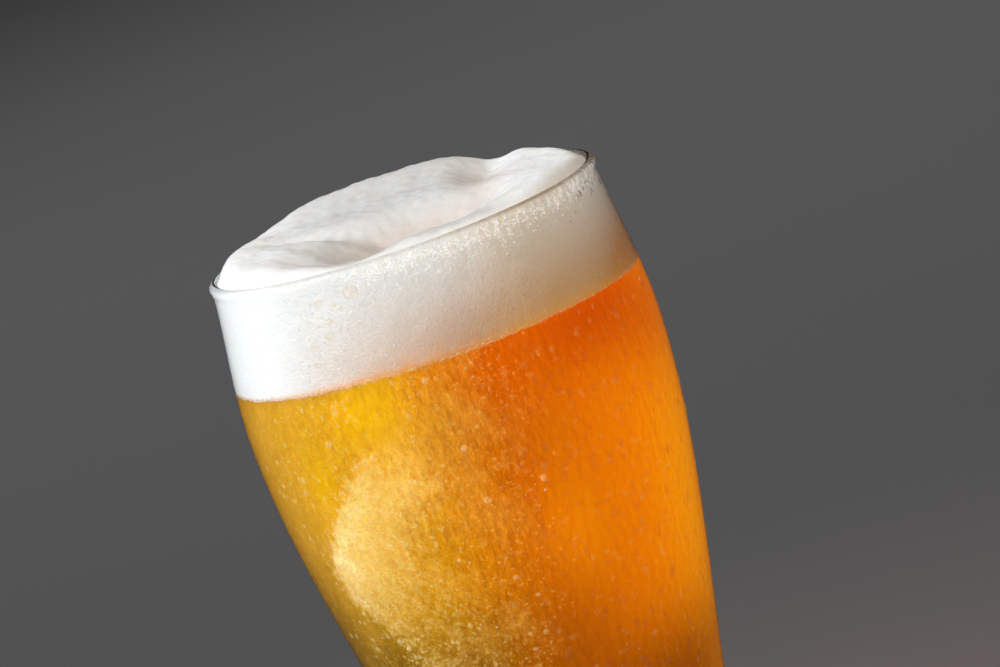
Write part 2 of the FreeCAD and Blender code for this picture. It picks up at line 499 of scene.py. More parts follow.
# %% [markdown]
# ## Beer, cloudy with gas
# Just-poured lager isn't clear: it is full of gas that scatters light, so it glows all through.
# Light that enters on one side comes out on the other, redder the further it went. Subsurface
# scattering with a long reach in red and a short one in blue does that on a closed surface, and
# stays cheap where a true volume would be slow and noisy.

# %% Helpers for painting on the wall: a bearing in degrees and a height in millimetres
def smooth(value, low, high):
    """0 below low, 1 above high, and an even S between them."""
    t = np.clip((value - low) / (high - low), 0, 1)
    return t * t * (3 - 2 * t)


def bearing(x, y):
    """Degrees round the glass from its front, to the right."""
    return np.degrees(np.arctan2(x, -y))


def points_of(piece):
    """A piece's points as an array, in millimetres."""
    flat = np.empty(len(piece.data.vertices) * 3)
    piece.data.vertices.foreach_get("co", flat)
    return flat.reshape(-1, 3) / MM


def give(piece, name, values):
    """Stores a number or a colour for each point of a piece's mesh, for its material to read."""
    values = np.asarray(values, dtype=np.float32)
    if values.ndim == 1:
        layer = piece.data.attributes.new(name, "FLOAT", "POINT")
        layer.data.foreach_set("value", values)
    else:
        layer = piece.data.color_attributes.new(name, "FLOAT_COLOR", "POINT")
        opaque = np.concatenate([values, np.ones((len(values), 1), np.float32)], axis=1)
        layer.data.foreach_set("color", opaque.ravel())
    print(f"{piece.name} has {name}, from {values.min():.2f} to {values.max():.2f}")


# %% [markdown]
# ## The lip's dark line
# A rounded lip bends the darkness of the room to the eye, as a thin line along its top. The line
# is strongest on the right, away from the lamp. It could be left to the rays alone, but they
# make it too thin here, so the lip's tint gets darker over half a millimetre.

# %% The lip's line, and the finish of the glass
glass_points = points_of(glass)
glass_bearing = bearing(glass_points[:, 0], glass_points[:, 1])
away_from_lamp = smooth(glass_bearing, -10, 40) * (1 - smooth(glass_bearing, 110, 150))
near_top = smooth(glass_points[:, 2], RIM - 0.75, RIM - 0.25)
# The lip's tint is painted shade: darker along the top, most away from the lamp.
give(glass, "lip", near_top * (0.45 + 0.55 * away_from_lamp))
glass.data.materials.append(glass_material())


# %% [markdown]
# ## The colour of the beer
# Beer has no colour of its own that is the same all round: it is gold towards the lamp, orange
# away from it, and brown low down, where light hardly comes. To trace that through a volume is
# slow, so this light and shade is painted into the colour as a painter would: a ring of colours
# round the glass, and soft patches on top of it, each of them named.

# %% The beer's colour, with its light and shade painted in
# bearing and the colour there: gold where the lamp is, orange away from it
BEER_ROUND = {
    -180: (206, 118, 8), -140: (206, 124, 10), -105: (186, 124, 18), -84: (172, 120, 26),
    -66: (178, 130, 32), -48: (182, 134, 22), -22: (182, 126, 6), -5: (190, 110, 3),
    10: (193, 93, 1), 32: (230, 118, 0), 46: (240, 128, 0), 58: (248, 138, 0), 70: (250, 147, 0),
    81: (254, 151, 0), 93: (248, 134, 0), 112: (226, 112, 0), 140: (216, 112, 2),
}
# Most patches are painted light and shade: bright where the lamp's light comes through, dark low
# down.
# name: colour, bearing, height, half width in degrees, half height in mm, strength
BEER_PATCHES = {
    "painted light on the right edge": ((252, 158, 0), 66, 88, 14, 26, 0.5),
    "painted light right of the middle": ((246, 140, 0), 20, 92, 12, 12, 0.6),
    "orange shoulder on the right": ((212, 90, 0), 68, 124, 22, 14, 0.65),
    "deep orange under the head": ((198, 73, 0), 44, 131, 36, 11, 0.9),
    "painted light in the right corner": ((244, 128, 0), 92, 129, 9, 12, 0.85),
    "painted shade at the foot on the right": ((150, 74, 0), 42, 52, 48, 16, 0.95),
    "brown shade under the middle": ((140, 90, 0), -14, 77, 13, 5, 0.3),
    "painted shade at the foot in the middle": ((150, 72, 0), -2, 66, 20, 16, 0.7),
    "dark gold right of the middle": ((176, 84, 1), 4, 121, 7, 14, 0.35),
    "pale gold haze above the plume": ((224, 180, 84), -21, 116, 9, 8, 0.4),
    "painted amber shade low in the middle": ((120, 70, 4), -22, 70, 14, 11, 0.85),
    "painted brown shade low on the left": ((84, 58, 10), -62, 67, 34, 19, 1.0),
    "painted amber shade at the foot on the left": ((176, 106, 8), -70, 24, 60, 24, 0.8),
    "olive shade low on the left": ((112, 80, 16), -88, 64, 32, 38, 0.85),
    "hazy tan right of the patch": ((176, 124, 34), -6, 121, 8, 12, 0.5),
    "golden patch under the head": ((202, 150, 1), -25, 127, 11, 8, 0.95),
    "gold beside the plume": ((192, 142, 2), -47, 114, 7, 8, 0.9),
    "dark gold line under the head": ((162, 108, 46), -52, 134, 26, 1.6, 0.6),
}


def beer_paint(degrees, height):
    """The colour round the glass, then each patch blended in by a bell: e to the minus of its
    scaled distance squared. Everything gets darker towards the foot, as painted shade."""
    turns = np.array([*BEER_ROUND.keys(), 180])
    colours = screen_to_linear([*BEER_ROUND.values(), BEER_ROUND[-180]])
    order = np.argsort(turns)
    paint = np.stack([np.interp(degrees, turns[order], colours[order, c]) for c in range(3)], -1)
    for colour_there, turn, rise, half_turn, half_rise, strength in BEER_PATCHES.values():
        # A low patch runs on down to the foot, so that no smudge hangs in the middle of the wall.
        reach = np.where((height < rise) & (rise < 75), 3 * half_rise, half_rise)
        off = ((degrees - turn) / half_turn) ** 2 + ((height - rise) / reach) ** 2
        share = strength * np.exp(-off)[..., None]
        paint = paint * (1 - share) + screen_to_linear(colour_there) * share
    # Painted shade: darker towards the foot, where the lamps' light hardly reaches.
    return paint * (0.62 + 0.38 * smooth(height, 12, 78))[..., None]


print("beer in the middle of the front:", np.round(beer_paint(0.0, 90.0), 2).tolist())


# %% [markdown]
# ## The plume of gas
# Where the beer was poured in, it is so full of fine gas that it looks pale. The cloud has a
# sharp wavy edge on its left and thins out to the right. It is a function of bearing and height
# too, because the colour, the bumps and the bubbles below all have to agree on where it is.

# %% Where the gas is thick: a plume down the front left
# height on the plume's sharp left edge, and the edge's bearing there
PLUME_EDGE = {55: -30, 64: -36, 72: -42, 83: -49, 90: -57, 99: -58, 107: -49, 110: -42,
              114: -39, 121: -32}


def plume_edge(height):
    """The bearing of the plume's left edge at a height."""
    return np.interp(height, list(PLUME_EDGE), list(PLUME_EDGE.values()))


def plume(degrees, height):
    """How thick the pale gas is: a sharp wavy edge on its left, thinning out to the right."""
    wobble = 2.0 * waves(degrees, height, 9.0, 10, 21) + 1.3 * waves(degrees, height, 3.2, 12, 22)
    edge = plume_edge(height) + wobble
    inside = smooth(degrees - edge, -2.4, 4.2)
    fade = 0.68 * (1 - smooth(degrees - edge, 6, 44)) + 0.32 * np.exp(-((degrees - edge) / 8) ** 2)
    upper = 1 - smooth(height + 0.25 * (degrees + 30), 106, 123)
    lower = 0.16 * smooth(height, 45, 60) + 0.84 * smooth(height, 80, 101)
    return inside * fade * upper * lower


def gas_colour(degrees, height):
    """The plume's own colour: pale gold, and nearly white along its left edge half way up."""
    pale_gold, near_white = screen_to_linear([(206, 176, 102), (232, 210, 164)])
    patchy = 0.62 + 0.6 * waves(degrees, height, 6.0, 10, 23)
    from_edge = degrees - plume_edge(height)
    white = patchy * np.exp(-((from_edge - 3) / 8) ** 2 - ((height - 97) / 9.5) ** 2)
    white = np.clip(white, 0, 1)[..., None]
    return pale_gold * (1 - white) + near_white * white


def beer_and_gas(degrees, height):
    """The colour of the beer with its plume."""
    share = 0.85 * plume(degrees, height)[..., None]
    return beer_paint(degrees, height) * (1 - share) + gas_colour(degrees, height) * share


print(f"gas just inside the edge: {plume(-50.0, 98.0):.2f}, right of it: {plume(0.0, 98.0):.2f}")


# %% [markdown]
# ## Where the bubbles crowd
# Small bubbles cover the front from its left to a little past its middle, and leave a clear patch
# close under the head. The same measure tells the material how grainy to look and the meshes
# further down how many bubbles to set.

# %% Where the small bubbles are thick
def fizz(degrees, height):
    """How thick the small bubbles are: over the left two thirds of the front, thin elsewhere."""
    limit = 12 + 0.28 * (height - 107) + 3 * waves(degrees, height, 12.0, 10, 31)
    front = smooth(degrees, -80, -52) * (1 - smooth(degrees - limit, -16, 10))
    patch = smooth(degrees, -35, -32) * (1 - smooth(degrees, -18, -14)) * smooth(height, 119, 123)
    clear = smooth(degrees, 6, 20) * (1 - smooth(degrees, 88, 115))
    return np.clip(front * (1 - 0.8 * patch) + 0.08 * (1 - 0.93 * clear), 0, 1)


def grain(degrees, height):
    """How uneven the fizz looks: most in the middle of the front, less in the plume."""
    middle = 0.25 + 0.75 * smooth(degrees, -54, -22)
    return fizz(degrees, height) * middle * (1 - 0.75 * plume(degrees, height))


beer_points = points_of(beer)
beer_bearing = bearing(beer_points[:, 0], beer_points[:, 1])
for name, painted in (("plume", plume), ("fizz", fizz), ("grain", grain), ("paint", beer_paint),
                      ("gas", gas_colour)):
    give(beer, name, painted(beer_bearing, beer_points[:, 2]))


# %% [markdown]
# ## The finish of the beer
# Thousands of bubbles on the inside of the wall make the beer look embossed: each has a bright
# side and a dark one. The finest of them are not worth a mesh, so the material shades them: the
# height of a noise a small step to the side, less its height here, is bright on one side of each
# bump and dark on the other. A little emission stands for the light inside the beer.

# %% Beer material
def relief(shape, at, size, step, gain):
    """Light and shade on small bumps: their height a step to the side less their height here."""
    aside = at.node("ShaderNodeVectorMath", {"operation": "ADD"}, {0: at, 1: (step, step * 0.6, 0)})
    return (shape(aside, size) - shape(at, size)) * gain


def beer_material():
    """The painted colour, clouded and paled by gas, then given painted light and shade for three
    sizes of bump.
    """
    material, start = new_material("golden_lager")
    at = place_of(start)
    tall = place_of(start, (1, 1, 0.55))
    gas = attribute(start, "plume")
    small = attribute(start, "fizz")
    rough = attribute(start, "grain")
    body = attribute(start, "paint", 0)
    cloudy = noise(at, 9.0, 3.0).clamp(0.46, 0.70) * small * 0.30
    body = (cloudy * (1 - gas)).mix(body, colour(206, 152, 54))
    ragged_gas = (gas + (noise(at, 2.0, 3.0) - 0.5) * 0.9).clamp(0.08, 0.80)
    pale = ragged_gas * (0.56 + noise(at, 3.4, 3.0) * 0.60)
    body = pale.mix(body, attribute(start, "gas", 0))
    # Painted light and shade on bumps of three sizes: ripples, beads and drops.
    ripples = relief(noise, tall, 1.5, 0.5, 2.0)
    beads = relief(noise, tall, 0.62, 0.22, 2.0)
    drops = relief(cells, tall, 1.5, 0.24, 1.6)
    patches = noise(at, 7.0, 2.0).clamp(0.40, 0.62)
    shade = ripples * (0.16 + rough * 0.21) + beads * (0.04 + rough * 0.26) + 1.0
    shade = shade + drops * (0.20 + rough * 0.24) * (0.3 + patches * 0.7)
    shade = (shade - 1.0) * (1 - gas * 0.35) + 1.0
    # In shade the beer turns redder, and not only darker, so red changes least and blue most.
    scale = start.node("ShaderNodeCombineXYZ", None,
                       {0: shade * 0.7 + 0.3, 1: shade, 2: shade * 1.4 - 0.4})
    body = start.node("ShaderNodeVectorMath", {"operation": "MULTIPLY"}, {0: body, 1: scale})
    height = noise(at, 0.62, 2.0) * small + noise(tall, 1.5, 2.0) * 0.8
    bump = start.node("ShaderNodeBump", None,
                      {"Height": height, "Strength": 0.5, "Distance": 0.3 * MM})
    surface = start.node("ShaderNodeBsdfPrincipled", None, {
        "Base Color": body, "Roughness": 0.35, "IOR": 1.12,
        "Subsurface Weight": 0.7, "Subsurface Radius": (1.0, 0.42, 0.06),
        "Subsurface Scale": 0.012, "Emission Color": body, "Emission Strength": 0.62,
        "Normal": bump})
    return finished(material, surface)


beer.data.materials.append(beer_material())


# %% [markdown]
# ## Foam
# Foam is white because light meets thousands of bubble walls and comes back. Close to the glass
# the bubbles show as a fine grain, a few of them as large round windows. Its material is a soft
# white with a bump of cells, and the windows are modelled below.

# %% Foam material
def foam_material():
    """White, with painted grey shade, painted warm glow and shade, and the beer's painted amber glow
    where each is stored, and fine cells at the wall.
    """
    material, start = new_material("white_foam")
    at = place_of(start)
    fine = cells(at, 0.42)
    at_wall = 1 - attribute(start, "open") * 0.8
    lumps = noise(at, 6.0, 3.0) * 2.0 + noise(at, 1.3, 2.0) * 0.4
    grain = (fine * 0.35 + cells(at, 1.0) * 0.2) * at_wall + lumps
    bump = start.node("ShaderNodeBump", None,
                      {"Height": grain, "Strength": 0.5, "Distance": 0.4 * MM})
    # Painted light and shade in the colour: grey shade, warm glow and shade, beige shade in the
    # cells' pits, and the beer's amber glow.
    warm_glow_and_shade = attribute(start, "warm_glow_and_shade") + (noise(at, 6.0, 3.0) - 0.5) * 0.10
    pit_shade = fine.clamp(0.30, 0.62) * at_wall * 0.12
    body = attribute(start, "grey_shade").mix(colour(254, 254, 254), colour(204, 203, 201))
    body = warm_glow_and_shade.mix(body, colour(202, 142, 88))
    body = pit_shade.mix(body, colour(232, 216, 194))
    body = attribute(start, "amber").mix(body, colour(242, 160, 56))
    # Painted light and shade on the foam's bubbles: bright on one side of each, dark on the other.
    bubble_light_and_shade = relief(cells, at, 0.85, 0.16, 0.5) + relief(noise, at, 0.5, 0.16, 0.35)
    shade = bubble_light_and_shade * attribute(start, "coarse") + 1.0
    body = start.node("ShaderNodeVectorMath", {"operation": "SCALE"}, {0: body, "Scale": shade})
    seep = attribute(start, "seep").mix((0, 0, 0, 1), (0.20, 0.112, 0.012, 1))
    surface = start.node("ShaderNodeBsdfPrincipled", None, {
        "Base Color": body, "Roughness": 0.55, "IOR": 1.34,
        "Emission Color": seep, "Emission Strength": 1.0,
        "Subsurface Weight": 0.6, "Subsurface Radius": (1.0, 0.85, 0.7),
        "Subsurface Scale": 0.003, "Normal": bump})
    return finished(material, surface)


# %% [markdown]
# ## Light in the foam
# Foam takes on the colour of whatever shines into it. Above the beer it is tinted amber, on the
# right it lets the lamp's light seep out again, and in its folds and its crater it is warm and
# dim. All of these are painted light and shade, each one function of the place on the foam,
# stored as a value for each point.

# %% What shines into the foam, and where
def on_side(x, y):
    """1 on the foam's side, at the glass, and 0 on its open top."""
    return smooth(np.hypot(x, y), MOUTH - 1.5, MOUTH)


# Every function from here on takes all three coordinates, so that one loop can call them.
def open_share(x, y, height):
    """1 on the foam's open top, and 0 where it lies at the glass."""
    return smooth(MOUTH - np.hypot(x, y), 0, 3)


def glow_and_shade_warmth(x, y, height):
    """How much painted warm glow and shade tints the foam: the beer's glow, low at the wall and away
    from the lamp, and shade in the crater's hollow and in a fold.
    """
    degrees = bearing(x, y)
    turned = 0.05 + 0.95 * smooth(degrees, -62, 24) * (1 - smooth(degrees, 110, 170))
    turned = turned + 0.55 * smooth(degrees, 42, 90) * (1 - smooth(degrees, 100, 150))
    low = 1 - smooth(height, LEVEL - 1, RIM - 2)
    side = on_side(x, y)
    # Painted shade: warm and dim in the crater's hollow and in the fold beside the right mound.
    crater_shade = 0.38 * smooth(RIM + 2.0 - height, 0, 7) * (1 - side)
    line = 0.25 * (1 - smooth(height, LEVEL - 0.2, LEVEL + 0.7))
    fold = 0.24 * np.exp(-((x - 18) / 5) ** 2 - ((y - 6) / 10) ** 2) * (1 - side)
    return np.clip((0.07 + 0.80 * low) * turned * side + 0.7 * crater_shade + line * side + fold, 0, 1)


def grey_shade_amount(x, y, height):
    """Where the foam is painted a light grey shade and not white: on its open top, and round its
    front.
    """
    degrees = bearing(x, y)
    top = open_share(x, y, height)
    open_top = 0.25 + 0.50 * smooth(x, -30, -12) * (1 - smooth(x, 14, 25)) - 0.12 * smooth(x, 14, 25)
    front = 0.45 * smooth(degrees, -62, -34) * (1 - 0.75 * smooth(degrees, -20, 20))
    right_end = 0.7 * smooth(degrees, 50, 88) * (1 - smooth(degrees, 95, 130))
    front = front * (1 - smooth(degrees, 110, 170)) + right_end
    return np.clip(top * open_top + (1 - top) * front, 0, 1)


# %% [markdown]
# ## The beer's light in the foam
# Just above the beer the foam is thin at the wall, and the beer's own colour comes through, painted
# into the foam as a glow. On the right of the front, light from the lamp leaves the foam again after
# crossing the beer, painted as a glow too. Where the foam's bubbles are large, they break this even
# white up into a grain of painted light and shade.

# %% The beer's light, and the grain of the foam
def beer_glow(x, y, height):
    """The beer's colour painted as a glow close above the beer, where the foam is thin, most on the
    right.
    """
    degrees = bearing(x, y)
    turned = 0.66 * smooth(degrees, -50, -5) * (1 - smooth(degrees, 110, 170))
    turned = turned * (1 - 0.32 * smooth(degrees, -2, 18))
    thin_line = 0.34 * smooth(degrees, -66, -42) * (1 - smooth(degrees, -20, 0))
    turned = turned + thin_line * (1 - smooth(height, LEVEL + 0.3, LEVEL + 1.4))
    uneven = 1 + 0.25 * waves(degrees, height, 5.0, 12, 41)
    return np.clip(turned * uneven * np.exp(-np.clip(height - LEVEL, 0, None) / 1.7), 0, 1)


def seeping_light(x, y, height):
    """The lamp's light that comes through beer and foam and leaves on the right of the front."""
    degrees = bearing(x, y)
    turned = smooth(degrees, 2, 26) * (1 - smooth(degrees, 34, 80))
    near_beer = 0.48 + 0.45 * np.exp(-np.clip(height - LEVEL, 0, None) / 3)
    return turned * near_beer * on_side(x, y)


def coarseness(x, y, height):
    """How strongly the painted light and shade of the foam's bubbles shows at the wall: most round
    the large ones.
    """
    degrees = bearing(x, y)
    group = np.exp(-((degrees + 26) / 13) ** 2 - ((height - 142) / 9) ** 2)
    front = smooth(degrees, -50, -25) * (1 - smooth(degrees, 70, 110))
    return (0.05 + 0.08 * front + 0.30 * group) * on_side(x, y)


foam_points = points_of(foam)
for name, painted in (("warm_glow_and_shade", glow_and_shade_warmth), ("grey_shade", grey_shade_amount), ("amber", beer_glow),
                      ("seep", seeping_light), ("coarse", coarseness), ("open", open_share)):
    give(foam, name, painted(*foam_points.T))
foam.data.materials.append(foam_material())


# %% [markdown]
# ## Bubbles and drops
# Fizz is what tells the eye that this is beer and not juice. Each kind of bubble is one mesh:
# a ball of few faces is copied to many places, each with its own size and stretch. Instances or
# particles would be lighter, but the exported part has to carry them, so they are real
# triangles. A ball has 20 faces where it is small, and 32 where its outline can be seen.

# %% A ball of few faces, and a way to strew it
def ball(fine=False):
    """A ball of radius 1: an icosahedron, or an octahedron with each face split in four."""
    if fine:
        points = np.array([(1, 0, 0), (-1, 0, 0), (0, 1, 0), (0, -1, 0), (0, 0, 1), (0, 0, -1)])
        faces = np.array([(0, 2, 4), (2, 1, 4), (1, 3, 4), (3, 0, 4),
                          (2, 0, 5), (1, 2, 5), (3, 1, 5), (0, 3, 5)])
        corners = points[faces]
        middles = (corners + corners[:, [1, 2, 0]]) / 2
        loose = np.concatenate([corners, middles], axis=1)
        points, index = np.unique(loose.reshape(-1, 3), axis=0, return_inverse=True)
        index = index.reshape(-1, 6)
        faces = index[:, [[0, 3, 5], [3, 1, 4], [5, 4, 2], [3, 4, 5]]].reshape(-1, 3)
    else:
        g = (1 + 5 ** 0.5) / 2
        points = np.array([(-1, g, 0), (1, g, 0), (-1, -g, 0), (1, -g, 0), (0, -1, g), (0, 1, g),
                           (0, -1, -g), (0, 1, -g), (g, 0, -1), (g, 0, 1), (-g, 0, -1), (-g, 0, 1)])
        faces = np.array([(0, 11, 5), (0, 5, 1), (0, 1, 7), (0, 7, 10), (0, 10, 11), (1, 5, 9),
                          (5, 11, 4), (11, 10, 2), (10, 7, 6), (7, 1, 8), (3, 9, 4), (3, 4, 2),
                          (3, 2, 6), (3, 6, 8), (3, 8, 9), (4, 9, 5), (2, 4, 11), (6, 2, 10),
                          (8, 6, 7), (9, 8, 1)])
    return points / np.linalg.norm(points, axis=1, keepdims=True), faces, np.array([True])


print("a small ball has", len(ball()[1]), "faces and a finer one", len(ball(fine=True)[1]))


# %% [markdown]
# ## A drop
# A drop on glass is no ball: it lies low, and the tension of its skin makes it the cap of one.
# Three rings and a top are enough, because the eye sees only its round edge and a glint.

# %% The cap of a ball
def dome(steepness):
    """A drop on a wall: the cap of a ball, as wide as 1, that meets the wall at this many
    degrees. Its flat back is closed by a fan, so it has 48 faces."""
    share = np.array([0.45, 0.80, 1.0])
    big = 1 / math.sin(math.radians(steepness))
    rise = np.sqrt(big**2 - share**2) - math.sqrt(big**2 - 1)
    turn = np.linspace(0, 2 * np.pi, 8, endpoint=False)
    rings = np.stack([share[:, None] * np.cos(turn), share[:, None] * np.sin(turn),
                      np.broadcast_to(rise[:, None], (3, 8))], axis=-1).reshape(-1, 3)
    points = np.concatenate([rings, [(0, 0, big - math.sqrt(big**2 - 1))], [(0, 0, 0)]])
    place = np.arange(8)
    after = (place + 1) % 8
    top = np.stack([place, after, np.full(8, 24)], axis=1)
    sides = [np.stack([b + place, b + after, a + after], axis=1) for a, b in ((0, 8), (8, 16))]
    others = [np.stack([b + place, a + after, a + place], axis=1) for a, b in ((0, 8), (8, 16))]
    back = np.stack([16 + after, 16 + place, np.full(8, 25)], axis=1)
    faces = np.concatenate([top, *sides, *others, back])
    return points, faces, np.arange(48) < 40


print("a drop has", len(dome(13.0)[1]), "faces")


# %% [markdown]
# ## Strewing
# Where things lie is drawn at random and then thinned by a density, a function of bearing and
# height, so that a crowd or a gap is one short formula. Each thing stands on the wall in axes of
# its own: round the glass, up it and out of it.

# %% Many copies in one mesh, and where they lie
def strewn(name, centres, sizes, outward, shape=None):
    """One mesh of many balls or drops. Sizes are half widths: round the glass, up it and out."""
    points, faces, rounded = shape or ball()
    up = np.array([0.0, 0.0, 1.0]) - outward * outward[:, 2:]
    up /= np.linalg.norm(up, axis=1, keepdims=True)
    axes = np.stack([np.cross(up, outward), up, outward], axis=1)
    placed = np.einsum("vk,nk,nkc->nvc", points, sizes, axes) + centres[:, None]
    every = faces[None] + (np.arange(len(centres)) * len(points))[:, None, None]
    return new_piece(name, placed.reshape(-1, 3), every.reshape(-1, 3).tolist(), rounded)


THROWS = 30


def pick(count, density, low, high, seed):
    """Bearings and heights of at most count places between low and high. Many more are thrown
    than are wanted, and each is kept with a chance equal to the density there."""
    rng = np.random.default_rng(seed)
    turn = rng.uniform(low[0], high[0], count * THROWS)
    height = rng.uniform(low[1], high[1], count * THROWS)
    keep = rng.uniform(0, 1, count * THROWS) < density(turn, height)
    return turn[keep][:count], height[keep][:count], rng


def on_wall(degrees, height, radius_at, inset):
    """Places on a wall, sunk inwards by inset, and the wall's outward direction there."""
    lean = radius_at(height + 0.5) - radius_at(height - 0.5)
    turn = np.radians(degrees)
    outward = np.stack([np.sin(turn), -np.cos(turn), -lean], axis=1)
    outward /= np.linalg.norm(outward, axis=1, keepdims=True)
    radius = radius_at(height)
    centre = np.stack([radius * np.sin(turn), -radius * np.cos(turn), height], axis=1)
    return centre - outward * np.reshape(inset, (-1, 1)), outward


def sizes_of(rng, count, small, large, power, tall=1.0, deep=1.0):
    """Half widths between small and large millimetres, mostly small when power is high."""
    size = small + (large - small) * rng.uniform(0, 1, count) ** power
    return size[:, None] * np.array([1.0, tall, deep]) * rng.uniform(0.85, 1.15, (count, 3))


def in_beer(height):
    """Below the head, and clear of its ragged edge."""
    return smooth(LEVEL - height, 0.4, 2.0)


print(f"share of bubbles kept 1 mm under the head: {in_beer(LEVEL - 1.0):.2f}")


# %% [markdown]
# ## Fine bubbles
# Behind the glass hang thousands of bubbles a few tenths of a millimetre wide. They crowd where
# the gas is thick, so the functions that coloured the beer say here how many bubbles there are.
# They sit in the skin of the glass, just outside the beer's surface, or they would be hidden in
# it. The back of the pint has its own, fewer ones, so that it doesn't look empty from behind.

# %% Fine bubbles in the beer
IN_SKIN = -SINK - 0.02


def fizz_density(degrees, height):
    """Wherever there is fizz, but thinner in the plume and low in the glass."""
    thin = 1 - 0.85 * plume(degrees, height)
    return fizz(degrees, height) * thin * in_beer(height) * (0.55 + 0.45 * (height > 62))


turns, heights, rng = pick(8000, fizz_density, low=(-180, 30), high=(180, LEVEL), seed=11)
sizes = sizes_of(rng, len(turns), small=0.12, large=0.36, power=2.2)
centres, outward = on_wall(turns, heights, inside_radius, IN_SKIN)
fizz_bubbles = strewn("fizz_bubbles", centres, sizes, outward)


def plume_density(degrees, height):
    """As thick as the pale gas itself."""
    return plume(degrees, height) * in_beer(height)


turns, heights, rng = pick(6500, plume_density, low=(-66, 50), high=(30, 124), seed=12)
sizes = sizes_of(rng, len(turns), small=0.14, large=0.46, power=2.6)
centres, outward = on_wall(turns, heights, inside_radius, IN_SKIN)
plume_bubbles = strewn("plume_bubbles", centres, sizes, outward)


def far_density(degrees, height):
    """Even over the back half of the pint."""
    return smooth(np.abs(degrees), 75, 100) * in_beer(height)


turns, heights, rng = pick(5200, far_density, low=(-180, 28), high=(180, LEVEL), seed=18)
sizes = sizes_of(rng, len(turns), small=0.11, large=0.34, power=2.4)
centres, outward = on_wall(turns, heights, inside_radius, IN_SKIN)
far_bubbles = strewn("far_bubbles", centres, sizes, outward)


# %% [markdown]
# ## Bubbles that cling to the glass
# Some bubbles stay on the wall and grow there until they let go. They are few, and large enough
# to catch the eye, so they get the finer ball. Many sit along the edge of the plume, and a small
# cluster hangs under the head on the left.

# %% Larger bubbles that cling to the inside of the glass
def cling_density(degrees, height):
    """A crowd along the plume's edge, one cluster, and a few wherever there is fizz."""
    from_edge = np.abs(degrees - plume_edge(height) - 3)
    crowd = 0.9 * np.exp(-(from_edge / 5) ** 2) * (height < 119)
    cluster = np.exp(-((degrees + 32) / 2.2) ** 2 - ((height - 129) / 2.5) ** 2)
    few = 0.09 * fizz(degrees, height) * (1 - 0.85 * smooth(degrees, -14, 6))
    return (few + crowd + cluster) * in_beer(height)


turns, heights, rng = pick(750, cling_density, low=(-180, 28), high=(180, LEVEL - 1), seed=13)
sizes = sizes_of(rng, len(turns), small=0.26, large=0.72, power=2.8, tall=1.1)
centres, outward = on_wall(turns, heights, inside_radius, -SINK - 0.05)
cling_bubbles = strewn("cling_bubbles", centres, sizes, outward, ball(fine=True))


# %% [markdown]
# ## Dew
# A cold glass in a warm room mists over, and the mist gathers into flat drops. A drop meets the
# glass at a low angle, so each one is the cap of a ball, with its flat back just inside the
# glass. They lie mostly on the right of the front, where no hand has wiped them off.

# %% Dew on the outside of the glass
def dew_density(degrees, height):
    """Most from the middle of the front to the right, few elsewhere, and none beside the foam."""
    round_it = (0.10 + 0.90 * smooth(degrees, -5, 25)) * (1 - 0.75 * smooth(degrees, 68, 80))
    return round_it * (1 - smooth(height, LEVEL - 6, LEVEL - 1))


turns, heights, rng = pick(1300, dew_density, low=(-180, 20), high=(180, LEVEL), seed=14)
sizes = sizes_of(rng, len(turns), small=0.22, large=0.9, power=2.4, tall=1.4)
centres, outward = on_wall(turns, heights, outside_radius, 0.03)
dew_drops = strewn("dew_drops", centres, sizes, outward, dome(13.0))


# %% [markdown]
# ## Windows in the foam
# A few bubbles of the foam are a millimetre or two wide. Where one touches the glass there is no
# froth, so it shows as a round, slightly darker window. The largest have their own places, and
# small ones are strewn round them. Each is a very flat cap that stands out of the foam's side.

# %% Large bubbles of the foam, seen against the glass as round windows
def window_density(degrees, height):
    """One bell-shaped group on the left of the front, and hardly any elsewhere."""
    group = np.exp(-((degrees + 29) / 9) ** 2 - ((height - 144) / 8.5) ** 2)
    return 0.9 * group + 0.004


# bearing and height of each large window, and its half width
WINDOWS = {(-19.5, 151.0): 1.7, (-30.0, 150.4): 1.2, (-25.5, 149.6): 0.9, (-23.5, 148.4): 0.9,
           (-34.5, 146.8): 1.0, (-28.0, 146.4): 1.0, (-29.5, 144.0): 1.1, (-35, 142.6): 1.0,
           (-25.0, 144.8): 0.65, (-31.5, 146.2): 0.55, (-35.5, 138.8): 1.0, (-26, 140.4): 0.6}
turns, heights, rng = pick(150, window_density, low=(-180, 134.5), high=(180, 153), seed=15)
large = np.array([(*place, size) for place, size in WINDOWS.items()])
turns = np.concatenate([large[:, 0], turns])
heights = np.concatenate([large[:, 1], heights])
sizes = sizes_of(rng, len(turns), small=0.24, large=0.62, power=1.8, deep=0.5)
sizes[:len(large)] = large[:, 2:] * np.array([1.0, 1.0, 0.5])
centres, outward = on_wall(turns, heights, inside_radius, -FOAM_SINK + 0.02)
foam_windows = strewn("foam_windows", centres, sizes, outward, dome(10.0))


# %% [markdown]
# ## Froth at the two edges of the foam
# The foam meets the beer in a line of tiny bubbles, rough on the left and calm on the right.
# Under the rim, where the head has risen and sunk again, froth has dried into pale beads that
# hang in upright runs, and on the far right it has let go and left a few gaps, put in as dark
# flecks of painted shade.

# %% Froth where the foam meets the beer, and beads that hang under the rim
def line_density(degrees, height):
    """A narrow bell round the beer's level, thinner on the right of the front."""
    calm = 0.85 * smooth(degrees, 5, 30) * (1 - smooth(degrees, 100, 130))
    return (1 - calm) * np.exp(-((height - LEVEL + 0.1) / 0.32) ** 2)


turns, heights, rng = pick(3800, line_density, low=(-180, LEVEL - 1.6), high=(180, LEVEL + 1.8),
                           seed=16)
sizes = sizes_of(rng, len(turns), small=0.08, large=0.22, power=2.0, deep=0.6)
centres, outward = on_wall(turns, heights, inside_radius, -SINK - 0.06)
froth_line = strewn("froth_line", centres, sizes, outward)


RUNS_ROUND = 110


